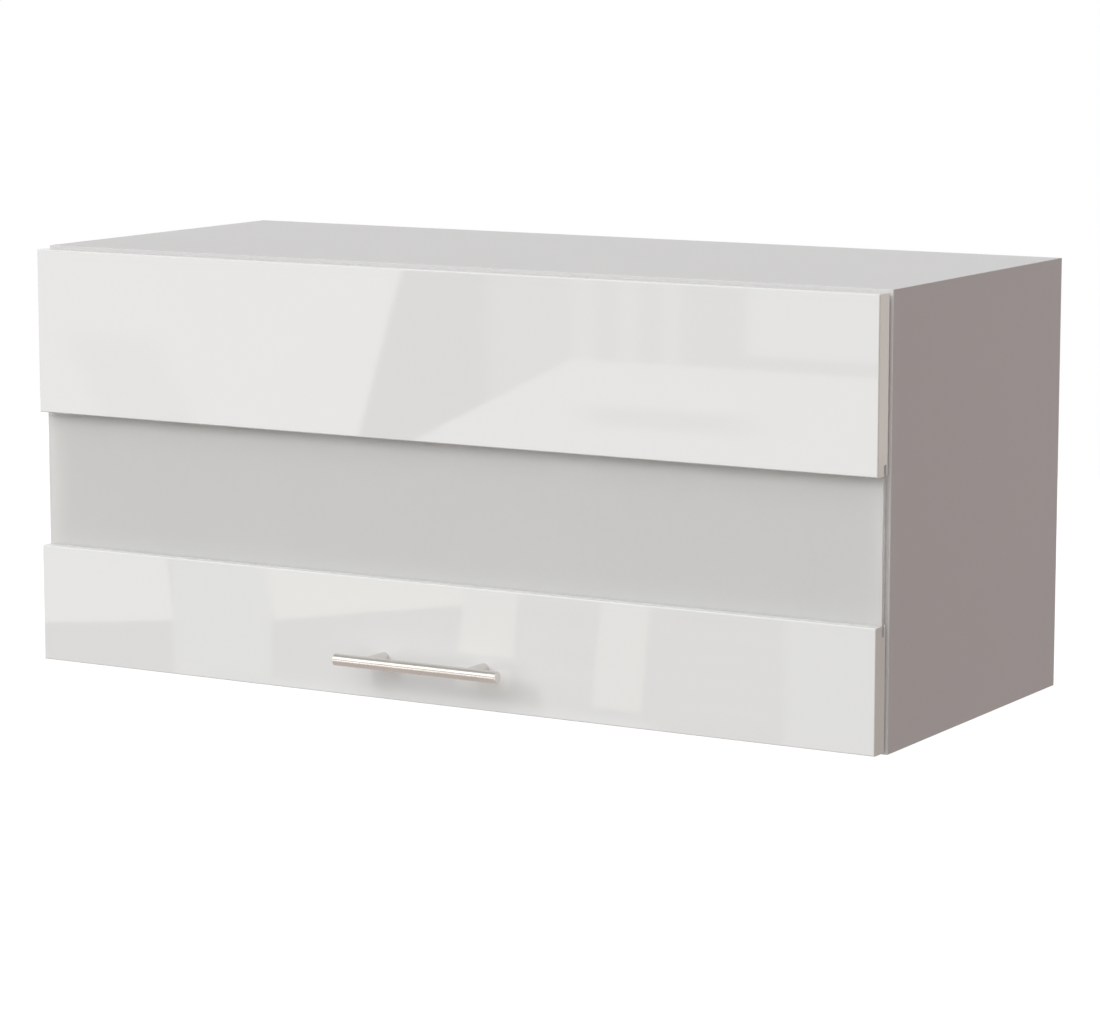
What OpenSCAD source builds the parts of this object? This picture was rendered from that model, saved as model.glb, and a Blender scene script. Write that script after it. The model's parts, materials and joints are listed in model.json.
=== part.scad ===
// Lift up wall cabinet: a melamine box with one top-hung flap door.
// The flap is two gloss boards joined by a frosted glass pane, held up by two gas struts.
// X runs to the right as seen from the front, Y runs towards the wall and Z runs up.
// Y = 0 is the wall plane, Z = 0 is the underside and X = 0 is the middle of the cabinet.

/* [Cabinet] */
// Overall width of the cabinet
cabinet_w = 800; // [500:10:1000]
// Overall height of the cabinet
cabinet_h = 360; // [330:1:500]
// Depth from the wall plane to the front edge of the panels
cabinet_d = 323; // [260:1:400]
// Thickness of the side, top and bottom panels
panel_t = 16; // [15:0.5:19.5]
// Thickness of the edging strip on the front edges
edging_t = 1; // [0.4:0.1:2]
// Thickness of the back board
back_t = 3; // [2.5:0.1:4]
// Free space between the back board and the wall plane
back_inset = 18; // [15:0.5:25]
// Depth of the grooves that hold the back board
back_groove = 8; // [5:0.5:10]

/* [Flap door] */
// Thickness of the two gloss boards
door_t = 18; // [16:0.5:22]
// Distance of the door inside the cabinet outline at the top and the bottom
reveal = 2; // [1:0.1:4]
// Distance of the door inside the cabinet outline at each side
side_reveal = 1.5; // [1:0.1:4]
// Gap between the closed door and the front edges
door_gap = 2; // [1.8:0.1:3]
// Height of the upper board
upper_h = 140; // [134:1:170]
// Height of the lower board
lower_h = 100; // [80:1:130]
// Radius of the softened edges of the boards
arris_r = 1; // [0.5:0.1:1.8]
// Radius of their long back edges, which pass close to the cabinet as the flap opens
back_arris_r = 2; // [1.8:0.1:3]
// Thickness of the glass pane
glass_t = 4; // [3:0.1:5]
// Distance of the glass behind the front of the boards
glass_setback = 11; // [6:0.1:11]
// How far the glass enters each board
glass_seat = 8; // [6:0.1:10]
// Distance of the glass inside the ends of the boards
glass_end = 0.5; // [0:0.1:2]
// Wall thickness of the seal round the glass edge
seal_t = 0.5; // [0.3:0.1:1]

/* [Handle] */
// Length of the handle bar
handle_len = 156; // [120:1:400]
// Distance between the two fixing screws
handle_pitch = 96; // [64:1:320]
// Diameter of the bar
handle_d = 10; // [8:0.5:14]
// Distance from the door front to the middle of the bar
handle_reach = 28; // [22:0.5:40]
// Height of the bar above the lower edge of the door
handle_rise = 35; // [20:1:60]

/* [Hinges] */
// Distance of each hinge from the outside of the cabinet
hinge_inset = 100; // [80:1:150]
// Diameter of the hinge cup
cup_d = 35; // [32:0.5:40]
// Depth of the hinge cup in the board
cup_depth = 13.5; // [13:0.1:14.5]
// Board left between the cup and the upper edge of the door
cup_edge = 3; // [2.8:0.1:3.4]
// Diameter of the hinge pin
pin_d = 3; // [2.5:0.1:3.2]
// Distance of the pin in front of the back face of the door
pin_depth = 9.5; // [9:0.1:10]
// Distance of the pin below the upper edge of the door
pin_drop = 7.3; // [7:0.05:7.4]
// Thickness of the steel of the hinge arm
arm_t = 2.5; // [2:0.1:2.8]

/* [Gas struts] */
// How far the flap opens, in degrees
opening = 80; // [60:1:82]
// Distance of the side ball studs below the top panel
stud_drop = 9.7; // [9.5:0.1:12]
// Distance of the door ball stud from the back face of the door
stud_reach = 10; // [9:0.5:12]
// Height of the door ball stud above the lower edge of the upper board
stud_rise = 19.7; // [17:0.1:24]
// Diameter of the strut barrel
barrel_d = 15; // [14:0.5:16]
// Diameter of the strut rod
rod_d = 6; // [5:0.5:8]
// Diameter of the ball studs
ball_d = 8; // [6:0.5:8.5]

/* [Hangers] */
// Height of the hanger housings
hanger_h = 60; // [50:1:70]
// Depth of the hanger housings
hanger_d = 38; // [30:1:45]
// Width of the hanger housings
hanger_w = 19; // [16:0.5:22]

/* [Hidden] */
$fn = 64;

// Small play values shared by every fit
fit = 0.1;          // between pieces that are fixed to each other
run = 0.3;          // between pieces that move past each other
over = 1;           // how far a cutter runs past the face that it cuts
tip_room = 1;       // free length of a hole past the tip of its screw
sides = [-1, 1];

// Finishes
white_board = [0.93, 0.92, 0.91];
gloss_white = [0.96, 0.96, 0.95];
frosted = [0.82, 0.84, 0.84, 0.7];
steel = [0.72, 0.71, 0.69];
nickel = [0.78, 0.77, 0.75];
zinc = [0.62, 0.63, 0.64];
grey_paint = [0.6, 0.61, 0.62];
clear_rubber = [0.85, 0.85, 0.84];
board_core = [0.55, 0.42, 0.3];
bright_steel = [0.74, 0.73, 0.71];
chrome = [0.8, 0.8, 0.8];
aluminium = [0.66, 0.66, 0.67];
dark_plastic = [0.22, 0.22, 0.23];
pale_plastic = [0.88, 0.88, 0.87];
beech = [0.8, 0.65, 0.45];

// Box
half_w = cabinet_w / 2;
inner_x = half_w - panel_t;
front_y = -cabinet_d;
board_d = cabinet_d - edging_t;
underside_z = cabinet_h - panel_t;
back_y = -back_inset - back_t;
back_edge = 1;      // play of the back board at the bottom of its grooves

// Corner joints: a cam, its bolt and a dowel at the front and at the back of each corner
cam_d = 15;
cam_depth = 12.5;
cam_reach = 34;     // from the end of the panel to the middle of the cam
cam_rows = [front_y + 50, -60];
dowel_step = 32;    // from each cam to its dowel, towards the middle
dowel_rows = [cam_rows[0] + dowel_step, cam_rows[1] - dowel_step];
dowel_d = 8;
dowel_len = 30;
dowel_in_side = 10;
bolt_d = 7;
bolt_thread_d = 5;
bolt_in_side = 11;
bolt_neck_d = 4.5;
bolt_neck_len = 14; // narrow length, head included
bolt_head_len = 4;
bolt_start = 1;     // from the middle of the cam to the end of the bolt
bolt_play = 1;      // of the bolt in the bore of the panel and in the slot of the cam
cam_cross = [7, 1.2, 2];  // span, width and depth of the cross recess
cap_d = 17;
cap_t = 0.8;
dowel_chamfer = 1;

// Door
door_back = front_y - door_gap;
door_front = door_back - door_t;
door_w = cabinet_w - 2 * side_reveal;
door_top = cabinet_h - reveal;
door_low = reveal;
upper_low = door_top - upper_h;
lower_top = door_low + lower_h;
glass_front = door_front + glass_setback;
groove_w = glass_t + 2 * seal_t;
groove_front = glass_front - seal_t;
groove_depth = glass_seat + seal_t;
seal_short = 1;     // how far the seal stays inside the mouth of the groove
bumper_d = 8;
bumper_t = door_gap - 0.2;
bumper_rows = [door_low + 18, lower_top - 20];

// Handle
handle_y = door_front - handle_reach;
handle_z = door_low + handle_rise;
post_d = handle_d - 1;
bar_chamfer = 0.6;
tap_depth = 12;     // of the threaded hole in a post

// Hinge axis
axis_y = door_back - pin_depth;
axis_z = door_top - pin_drop;
hinge_x = half_w - hinge_inset;
cup_z = door_top - cup_edge - cup_d / 2;
cup_floor = 0.9;
cup_wall = 1.5;
eye_r = pin_d / 2 + 1.1;
eye_w = 10;
pocket_top = axis_z + eye_r + run;
pin_len = 19;
flange_t = 1.2;
flange_w = 60;
flange_h = 15;
flange_r = 4;       // round corners of its lugs
flange_rim = 1.5;   // how far it reaches past the round cup
flange_top = 2.5;   // how far the flange reaches above the pin
pocket_drop = 3;    // from the pin down to the roof of the round pocket
cup_screw_pitch = 48;
cup_screw_drop = 9.5;
// The arm passes under the top panel and under the open door
plate_least = 3;
arm_top = min(axis_z - pin_depth - 2 * run, underside_z - plate_least);
arm_w = 16;
arm_neck = 3.5;     // narrow length of the arm behind its riser
arm_flare = 4;      // length over which it widens
arm_side = 2.4;     // height of its turned-up sides
arm_slot = 4;       // length of the slot at its rear screw
arm_end = front_y + 56;
plate_w = 13.4;
plate_end = front_y + 52;
plate_start = front_y + 6;
wing_w = 46;
wing_d = 14;
wing_t = 2;
wing_r = 5;
tap_floor = 1;      // left above the threaded holes in the plate
wing_y = front_y + 37;
plate_screw_pitch = 32;
arm_screw_rows = [front_y + 19, front_y + 44];

// Struts: both ball studs lie at one distance from the hinge axis, so the strut turns at half the door's rate
strut_x = inner_x - 12;
door_stud_y = door_back + stud_reach;
door_stud_z = upper_low + stud_rise;
stud_radius = norm([door_stud_y - axis_y, door_stud_z - axis_z]);
side_stud_z = underside_z - stud_drop;
side_stud_y = axis_y + sqrt(pow(stud_radius, 2) - pow(axis_z - side_stud_z, 2));
door_stud_dir = atan2(door_stud_y - axis_y, axis_z - door_stud_z);
side_stud_dir = atan2(side_stud_y - axis_y, axis_z - side_stud_z);
stud_angle = side_stud_dir - door_stud_dir;
closed_len = 2 * stud_radius * sin(stud_angle / 2);
open_len = 2 * stud_radius * sin((stud_angle + opening) / 2);
stroke = open_len - closed_len;
strut_tilt = atan2(side_stud_y - door_stud_y, door_stud_z - side_stud_z);
socket_len = 12.5;  // from a ball to the end of its socket
rod_show = 1.5;     // rod left in sight when the flap is shut
barrel_len = closed_len - 2 * socket_len - rod_show;
barrel_wall = 1.25;
barrel_floor = 2;
lip_t = 1;          // rolled lip that keeps the rod guide in
guide_len = 7;
piston_len = 4;
piston_start = socket_len + barrel_floor + 0.5;
socket_r = 6.5;
socket_half = 5;
stem_d = 9;
thread_len = 6;     // how far barrel and rod ends enter the sockets
thread_d = 5;
neck_d = 4.5;
mouth_d = rod_d + 3;
collar_t = 1.2;     // collar of a ball stud, seated on its plate
collar_r = ball_d / 2 - 0.5;
bracket_t = 2;
nose_r = 8;         // round nose of the side plate
strut_plate_size = [28, 24, 4];  // width, height and corner radius
strut_plate_drop = 16;  // from the stud to the middle of the plate
strut_screw_rows = [-22, -10];
strut_screw_pitch = 18;
tab_x = strut_x - 12;
tab_r = 6;
foot_w = 24;
foot_h = 30;
foot_t = bracket_t - run;
foot_drop = 12;     // from the stud to the lower end of the foot
foot_screw_rows = [-6, 12];
foot_screw_x = tab_x - foot_w / 2 - 2;

// Hangers
hanger_wall = 2;
hanger_y = back_y - hanger_d;
hanger_z = underside_z - hanger_h;
hook_w = 12;
hook_t = 2.5;
hook_x = inner_x - hanger_w / 2 + 1;
hook_z = underside_z - 16;
hook_lip = 14;
hook_tip_y = -5;
hook_plate_y = back_y - 9;
hook_plate_low = hanger_z + 6;
hook_plate_h = hanger_h - 10;
hook_room = 1.5;    // free width at each side of the hook in the back board
hook_travel = 6;    // free height above and below it
hanger_screw_rows = [underside_z - 8, hanger_z + 12];
peg_d = 10;
peg_len = 10;
peg_rows = [hanger_z + 22, hanger_z + 40];
cover_d = 6;
cover_wall = 1.2;
cover_r = 4;

// Screws: shank diameter, shank length, head diameter and head height
plate_screw = [3.6, 13, 7, 1.6];
arm_screw = [4, arm_t + 2, 7.5, 2.2];
strut_screw = [3.6, 11, 6.6, 1.6];
cup_screw = [3, 10, 5.6, 0.7];
bracket_screw = [3, 10, 5.6, 1.4];
handle_screw = [4, door_t + 10, 9, 1.7];
hanger_screw = [6, hook_plate_y + hook_t + 1.5 - hanger_y, 9, 3];
recess_w = 0.8;     // width of the cross in a screw head

// Values to look at when a size changes: the strut must have room for its stroke
echo(stroke = stroke, closed_len = closed_len, open_len = open_len, barrel_len = barrel_len);
echo(hinge_axis = [axis_y, axis_z], side_stud = [side_stud_y, side_stud_z]);
echo(door_stud = [door_stud_y, door_stud_z], strut_x = strut_x, arm_top = arm_top);
echo(stroke_room = socket_len + barrel_len - lip_t - guide_len - piston_start - piston_len - stroke);

// ---- shared shapes ----

// A cylinder whose axis runs along X, centred on the given point
module rod_x(d, len) {
  rotate([0, 90, 0])
    cylinder(d = d, h = len, center = true);
}

// A cylinder that starts at the given point and runs towards the wall
module rod_back(d, len) {
  rotate([-90, 0, 0])
    cylinder(d = d, h = len);
}

// A rectangle with round corners, centred
module soft_rect(a, b, r) {
  square([a - 2 * r, b], center = true);
  square([a, b - 2 * r], center = true);
  for (u = sides, v = sides)
    translate([u * (a / 2 - r), v * (b / 2 - r)])
      circle(r = r);
}

// Puts a piece on the right and its mirror image on the left
module at_side(side) {
  mirror([side < 0 ? 1 : 0, 0, 0])
    children();
}

// Draws a piece on both sides
module both_sides() {
  for (side = sides)
    at_side(side)
      children();
}

// A rod along X with chamfered ends, centred on the given point
module blunt_rod(d, len, chamfer) {
  rod_x(d, len - 2 * chamfer);
  for (side = sides)
    at_side(side)
      translate([len / 2 - chamfer, 0, 0])
        rotate([0, 90, 0])
          cylinder(d1 = d, d2 = d - 2 * chamfer, h = chamfer);
}

// A cross-shaped cutter that stands on Z = 0
module cross_recess(span, width, depth) {
  for (turn = [0, 90])
    rotate([0, 0, turn])
      translate([-span / 2, -width / 2, 0])
        cube([span, width, depth]);
}

// A screw along Z with its head seated at Z = 0 and its shank going down
module pan_screw(screw) {
  head_d = screw[2];
  head_h = screw[3];
  translate([0, 0, -screw[1]])
    cylinder(d = screw[0], h = screw[1]);
  difference() {
    cylinder(d1 = head_d, d2 = head_d * 0.8, h = head_h);
    translate([0, 0, head_h * 0.4])
      cross_recess(head_d * 0.56, recess_w, head_h);
  }
}

// The next three stand where a screw goes into a board: the face of the board is at Z = 0 with the
// board above it, and a plate of the given thickness lies below it

// The screw, with its head on the plate
module seated_screw(screw, plate) {
  translate([0, 0, -plate])
    rotate([180, 0, 0])
      pan_screw(screw);
}

// Its hole in the plate
module plate_bore(screw, plate) {
  translate([0, 0, -plate - over])
    cylinder(d = screw[0] + fit, h = plate + 2 * over);
}

// Its hole in the board
module board_bore(screw, plate) {
  translate([0, 0, -over])
    cylinder(d = screw[0] + fit, h = screw[1] - plate + tip_room + over);
}

// ---- the box ----

// Holes for the bolts and dowels of the corner joints, drilled into the inner face of a side
module side_joint_holes() {
  for (z = [panel_t / 2, cabinet_h - panel_t / 2]) {
    for (y = cam_rows)
      translate([inner_x + (bolt_in_side + fit) / 2, y, z])
        rod_x(bolt_thread_d + fit, bolt_in_side + fit);
    for (y = dowel_rows)
      translate([inner_x + dowel_in_side / 2, y, z])
        rod_x(dowel_d + fit, dowel_in_side);
  }
}

module side_panel(side) {
  color(white_board)
    at_side(side)
      difference() {
        translate([inner_x, -board_d, 0])
          cube([panel_t, board_d, cabinet_h]);
        // groove for the back board
        translate([inner_x - over, back_y, panel_t - back_groove])
          cube([back_groove + over, back_t + fit, cabinet_h - 2 * (panel_t - back_groove)]);
        side_joint_holes();
        // sockets for the hanger pegs
        for (z = peg_rows)
          translate([inner_x + (peg_len + fit) / 2, hanger_y + hanger_d / 2, z])
            rod_x(peg_d + fit, peg_len + fit);
        at_strut_plate_screws()
          board_bore(strut_screw, bracket_t);
      }
}

// Bores for one corner joint row, cut into the end of a top or bottom panel
module panel_end_holes(inner_face, into) {
  middle = inner_face + into * panel_t / 2;
  for (y = cam_rows) {
    // cam pocket, open at the inner face
    translate([inner_x - cam_reach, y, inner_face + into * (cam_depth - over) / 2])
      cylinder(d = cam_d + fit, h = cam_depth + over, center = true);
    translate([inner_x - cam_reach / 2, y, middle])
      rod_x(bolt_d + bolt_play, cam_reach);
  }
  for (y = dowel_rows)
    translate([inner_x - (dowel_len - dowel_in_side) / 2, y, middle])
      rod_x(dowel_d + fit, dowel_len - dowel_in_side + fit);
}

// A panel between the sides; its inner face is at inner_face and its thickness runs along into
module cross_panel(inner_face, into) {
  low = min(inner_face, inner_face + into * panel_t);
  difference() {
    translate([-inner_x, -board_d, low])
      cube([2 * inner_x, board_d, panel_t]);
    // groove for the back board
    translate([-inner_x - over, back_y, inner_face + (into > 0 ? -over : -back_groove)])
      cube([2 * (inner_x + over), back_t + fit, back_groove + over]);
    both_sides()
      panel_end_holes(inner_face, into);
  }
}

module top_panel() {
  color(white_board)
    difference() {
      cross_panel(underside_z, 1);
      at_plate_screws()
        board_bore(plate_screw, wing_t);
    }
}

module bottom_panel() {
  color(white_board)
    cross_panel(panel_t, -1);
}

module back_board() {
  back_w = 2 * (inner_x + back_groove - back_edge);
  back_h = cabinet_h - 2 * (panel_t - back_groove + back_edge);
  color(board_core)
    difference() {
      translate([-back_w / 2, back_y, (cabinet_h - back_h) / 2])
        cube([back_w, back_t, back_h]);
      // openings for the hanger hooks
      both_sides()
        translate([hook_x - hook_w / 2 - hook_room, back_y - over, hook_z - hook_lip - hook_travel])
          cube([hook_w + 2 * hook_room, back_t + 2 * over, hook_lip + hook_t + 2 * hook_travel]);
    }
}

// Strip on the front edge of a side panel
module side_edging(side) {
  color(white_board)
    at_side(side)
      translate([inner_x, front_y, 0])
        cube([panel_t, edging_t, cabinet_h]);
}

// Strip on the front edge of the top or bottom panel, whose lower face is at low
module cross_edging(low) {
  color(white_board)
    translate([-inner_x, front_y, low])
      cube([2 * inner_x, edging_t, panel_t]);
}

// Draws its children at each cam, with the inner face at Z = 0 and the panel above it
module at_cams() {
  both_sides()
    for (y = cam_rows) {
      translate([inner_x - cam_reach, y, underside_z])
        children();
      translate([inner_x - cam_reach, y, panel_t])
        mirror([0, 0, 1])
          children();
    }
}

module cam_locks() {
  slot_w = bolt_d + bolt_play;
  color(zinc)
    at_cams()
      difference() {
        cylinder(d = cam_d, h = cam_depth);
        // slot that takes the head of the bolt
        translate([0, -slot_w / 2, (panel_t - slot_w) / 2])
          cube([cam_d, slot_w, slot_w]);
        translate([0, 0, -over])
          cross_recess(cam_cross[0], cam_cross[1], cam_cross[2] + over);
      }
}

// Each bolt screws into the side panel and ends in a head inside its cam
module cam_bolts() {
  head_x = inner_x - cam_reach + bolt_start;
  neck_x = head_x + bolt_neck_len;
  color(steel)
    both_sides()
      for (y = cam_rows, z = [panel_t / 2, cabinet_h - panel_t / 2]) {
        translate([inner_x + bolt_in_side / 2, y, z])
          rod_x(bolt_thread_d, bolt_in_side);
        translate([(inner_x + neck_x) / 2, y, z])
          rod_x(bolt_d, inner_x - neck_x);
        translate([(head_x + neck_x) / 2, y, z])
          rod_x(bolt_neck_d, bolt_neck_len);
        translate([head_x + bolt_head_len / 2, y, z])
          rod_x(bolt_d, bolt_head_len);
      }
}

module cam_caps() {
  color(pale_plastic)
    at_cams()
      translate([0, 0, -cap_t])
        cylinder(d = cap_d, h = cap_t);
}

module dowels() {
  color(beech)
    both_sides()
      for (y = dowel_rows, z = [panel_t / 2, cabinet_h - panel_t / 2])
        translate([inner_x + dowel_in_side - dowel_len / 2, y, z])
          blunt_rod(dowel_d, dowel_len, dowel_chamfer);
}

// ---- hangers ----

module hanger_housing(side) {
  color(pale_plastic)
    at_side(side) {
      difference() {
        translate([inner_x - hanger_w, hanger_y, hanger_z])
          cube([hanger_w, hanger_d, hanger_h]);
        // hollow, open towards the side panel
        translate([inner_x - hanger_w + hanger_wall, hanger_y + hanger_wall, hanger_z + hanger_wall])
          cube([hanger_w, hanger_d - 2 * hanger_wall, hanger_h - 2 * hanger_wall]);
        // slot for the hook, which bears on its upper face
        translate([hook_x - hook_w / 2 - run, back_y - hanger_wall - over, hook_z - run])
          cube([hook_w + 2 * run, hanger_wall + 2 * over, hook_t + run]);
        // holes for the adjusting screws
        for (z = hanger_screw_rows)
          translate([hook_x, hanger_y - over, z])
            rod_back(hanger_screw[0] + fit, hanger_wall + 2 * over);
      }
      // posts that carry the pegs across the hollow
      for (z = peg_rows)
        translate([inner_x + (peg_len - hanger_w + hanger_wall) / 2, hanger_y + hanger_d / 2, z])
          rod_x(peg_d, hanger_w - hanger_wall + peg_len);
    }
}

// A bent steel strip: a plate in the housing, an arm through the back board and a lip for the wall rail
module hanger_hook(side) {
  color(steel)
    at_side(side)
      difference() {
        translate([hook_x - hook_w / 2, 0, 0])
          rotate([90, 0, 90])
            linear_extrude(hook_w) {
              // plate
              translate([hook_plate_y, hook_plate_low])
                square([hook_t, hook_plate_h]);
              // arm
              translate([hook_plate_y, hook_z])
                square([hook_tip_y - hook_plate_y, hook_t]);
              // lip
              translate([hook_tip_y - hook_t, hook_z - hook_lip])
                square([hook_t, hook_lip + hook_t]);
            }
        for (z = hanger_screw_rows)
          translate([hook_x, hook_plate_y - over, z])
            rod_back(hanger_screw[0] + fit, hook_t + 2 * over);
      }
}

// Two adjusting screws in each hanger, one for height and one for depth
module hanger_screws() {
  color(steel)
    both_sides()
      for (z = hanger_screw_rows)
        translate([hook_x, hanger_y, z])
          rotate([90, 0, 0])
            pan_screw(hanger_screw);
}

// Clip-on cover over the front of the housing
module hanger_cover(side) {
  color(pale_plastic)
    at_side(side)
      translate([inner_x - hanger_w / 2, hanger_y, hanger_z + hanger_h / 2])
        rotate([90, 0, 0])
          difference() {
            linear_extrude(cover_d)
              soft_rect(hanger_w, hanger_h, cover_r);
            translate([0, 0, -over])
              linear_extrude(cover_d - cover_wall + over)
                soft_rect(hanger_w - 2 * cover_wall, hanger_h - 2 * cover_wall, cover_r - cover_wall);
          }
}

// ---- hinges, carcass side ----

// Places children at both wing screws of both hinge plates, with the panel face at Z = 0
module at_plate_screws() {
  both_sides()
    for (u = sides)
      translate([hinge_x + u * plate_screw_pitch / 2, wing_y, underside_z])
        children();
}

// Cross-shaped plate under the top panel: a rail for the arm and two wings for the screws
module hinge_plate(side) {
  thick = underside_z - arm_top;
  color(nickel)
    at_side(side)
      difference() {
        union() {
          translate([hinge_x - plate_w / 2, plate_start, arm_top])
            cube([plate_w, plate_end - plate_start, thick]);
          translate([hinge_x, wing_y, underside_z - wing_t])
            linear_extrude(wing_t)
              soft_rect(wing_w, wing_d, wing_r);
        }
        at_plate_screws()
          plate_bore(plate_screw, wing_t);
        for (y = arm_screw_rows)
          translate([hinge_x, y, arm_top - over])
            cylinder(d = arm_screw[0] + fit, h = thick - tap_floor + over);
      }
}

module hinge_plate_screws() {
  color(bright_steel)
    at_plate_screws()
      seated_screw(plate_screw, wing_t);
}

// The cranked arm: an eye round the pin, a short riser in the cup and a channel over the plate
module hinge_arm(side) {
  rail_gap = plate_w + 2 * fit;
  side_t = (arm_w - rail_gap) / 2;
  arm_front = axis_y + eye_r - arm_t;
  neck_end = axis_y + eye_r + arm_neck;
  round_y = arm_end - arm_w / 2;
  arm_hole_d = arm_screw[0] + fit;
  arm_plan = [
    [eye_w / 2, arm_front], [eye_w / 2, neck_end], [arm_w / 2, neck_end + arm_flare], [arm_w / 2, round_y]
  ];
  color(nickel)
    at_side(side)
      difference() {
        union() {
          translate([hinge_x - eye_w / 2, 0, 0])
            rotate([90, 0, 90])
              linear_extrude(eye_w) {
                translate([axis_y, axis_z])
                  circle(r = eye_r);
                translate([arm_front, arm_top - arm_t])
                  square([arm_t, axis_z - arm_top + arm_t]);
              }
          // strip that widens once it is clear of the cup and has a round end
          translate([hinge_x, 0, arm_top - arm_t])
            linear_extrude(arm_t) {
              polygon([
                for (u = sides, p = u < 0 ? arm_plan : [for (i = [len(arm_plan) - 1:-1:0]) arm_plan[i]])
                  [u * p[0], p[1]]
              ]);
              translate([0, round_y])
                circle(d = arm_w);
            }
          // turned-up sides that hold the arm on the rail
          for (u = sides)
            translate([hinge_x + u * (rail_gap + side_t) / 2 - side_t / 2, plate_start, arm_top - over / 2])
              cube([side_t, wing_y - wing_d / 2 - plate_start - run, arm_side + over / 2]);
        }
        translate([hinge_x, axis_y, axis_z])
          rod_x(pin_d + 2 * fit, eye_w + 2 * over);
        // round hole for the front screw
        translate([hinge_x, arm_screw_rows[0], arm_top - arm_t - over])
          cylinder(d = arm_hole_d, h = arm_t + 2 * over);
        // slot for the rear screw, along which the arm is adjusted
        for (u = sides)
          translate([hinge_x, arm_screw_rows[1] + u * arm_slot / 2, arm_top - arm_t - over])
            cylinder(d = arm_hole_d, h = arm_t + 2 * over);
        translate([hinge_x - arm_hole_d / 2, arm_screw_rows[1] - arm_slot / 2, arm_top - arm_t - over])
          cube([arm_hole_d, arm_slot, arm_t + 2 * over]);
      }
}

module hinge_arm_screws() {
  color(bright_steel)
    both_sides()
      for (y = arm_screw_rows)
        translate([hinge_x, y, arm_top - arm_t])
          rotate([180, 0, 0])
            pan_screw(arm_screw);
}

// ---- strut fixings, carcass side ----

// Places children at the screws of both strut plates, with the side panel face at Z = 0
module at_strut_plate_screws() {
  for (z = strut_screw_rows, u = sides)
    translate([inner_x, side_stud_y + u * strut_screw_pitch / 2, side_stud_z + z])
      rotate([0, 90, 0])
        children();
}

module strut_plate(side) {
  color(nickel)
    at_side(side)
      difference() {
        translate([inner_x - bracket_t, side_stud_y, side_stud_z])
          rotate([90, 0, 90])
            linear_extrude(bracket_t) {
              circle(r = nose_r);
              translate([-nose_r, -strut_plate_drop])
                square([2 * nose_r, strut_plate_drop]);
              translate([0, -strut_plate_drop])
                soft_rect(strut_plate_size[0], strut_plate_size[1], strut_plate_size[2]);
            }
        at_strut_plate_screws()
          plate_bore(strut_screw, bracket_t);
        translate([inner_x, side_stud_y, side_stud_z])
          rod_x(neck_d + fit, 3 * bracket_t);
      }
}

module strut_plate_screws() {
  color(bright_steel)
    both_sides()
      at_strut_plate_screws()
        seated_screw(strut_screw, bracket_t);
}

// A ball on a neck with a collar; the ball is at the origin and the neck runs along +X
module ball_stud(reach) {
  rotate([0, 90, 0])
    rotate_extrude()
      intersection() {
        union() {
          circle(d = ball_d);
          square([neck_d / 2, reach]);
          translate([0, reach - bracket_t - collar_t])
            square([collar_r, collar_t]);
        }
        translate([0, -ball_d])
          square([ball_d, reach + ball_d]);
      }
}

module side_ball_studs() {
  color(bright_steel)
    both_sides()
      translate([strut_x, side_stud_y, side_stud_z])
        ball_stud(inner_x - strut_x);
}

// ---- door ----

// Cross-section of a board, with its front to the left; the back corners are the rounder ones
module board_section(height) {
  soft_rect(door_t, height, back_arris_r);
  intersection() {
    soft_rect(door_t, height, arris_r);
    translate([-door_t, -height / 2])
      square([door_t, height]);
  }
}

// A board with softened edges, standing between low and high
module soft_board(low, high) {
  intersection() {
    translate([-door_w / 2, (door_front + door_back) / 2, (low + high) / 2])
      rotate([90, 0, 90])
        linear_extrude(door_w)
          board_section(high - low);
    translate([0, (door_front + door_back) / 2, low])
      linear_extrude(high - low)
        soft_rect(door_w, door_t, arris_r);
  }
}

// Groove for the glass, cut into a board edge at the given height
module glass_groove(edge_z, up) {
  translate([-door_w / 2 - over, groove_front, up > 0 ? edge_z - over : edge_z - groove_depth])
    cube([door_w + 2 * over, groove_w, groove_depth + over]);
}

module upper_board() {
  color(gloss_white)
    difference() {
      soft_board(upper_low, door_top);
      glass_groove(upper_low, 1);
      both_sides() {
        // hinge cup bore
        translate([hinge_x, door_back - cup_depth - fit / 2, cup_z])
          rod_back(cup_d + fit, cup_depth + over);
        at_cup_screws()
          board_bore(cup_screw, flange_t);
        at_bracket_screws()
          board_bore(bracket_screw, foot_t);
      }
    }
}

module lower_board() {
  color(gloss_white)
    difference() {
      soft_board(door_low, lower_top);
      glass_groove(lower_top, -1);
      both_sides()
        translate([handle_pitch / 2, door_front - over, door_low + handle_rise])
          rod_back(handle_screw[0] + fit, door_t + 2 * over);
    }
}

module glass_pane() {
  color(frosted)
    translate([-door_w / 2 + glass_end, glass_front, lower_top - glass_seat])
      cube([door_w - 2 * glass_end, glass_t, upper_low - lower_top + 2 * glass_seat]);
}

// A U-shaped strip round one long edge of the glass; the glass edge is at Z = 0 and the groove is below
module seal_strip() {
  translate([-door_w / 2 + glass_end, groove_front, -seal_t])
    difference() {
      cube([door_w - 2 * glass_end, groove_w, groove_depth - seal_short]);
      translate([-over, seal_t, seal_t])
        cube([door_w + 2 * over, glass_t, groove_depth]);
    }
}

module upper_seal() {
  color(clear_rubber)
    translate([0, 0, upper_low + glass_seat])
      mirror([0, 0, 1])
        seal_strip();
}

module lower_seal() {
  color(clear_rubber)
    translate([0, 0, lower_top - glass_seat])
      seal_strip();
}

// Clear pads on the back of the door that meet the front edges of the side panels
module door_bumpers() {
  color(clear_rubber)
    both_sides()
      for (z = bumper_rows)
        translate([half_w - panel_t / 2, door_back, z])
          rod_back(bumper_d, bumper_t);
}

// ---- handle ----

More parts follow.
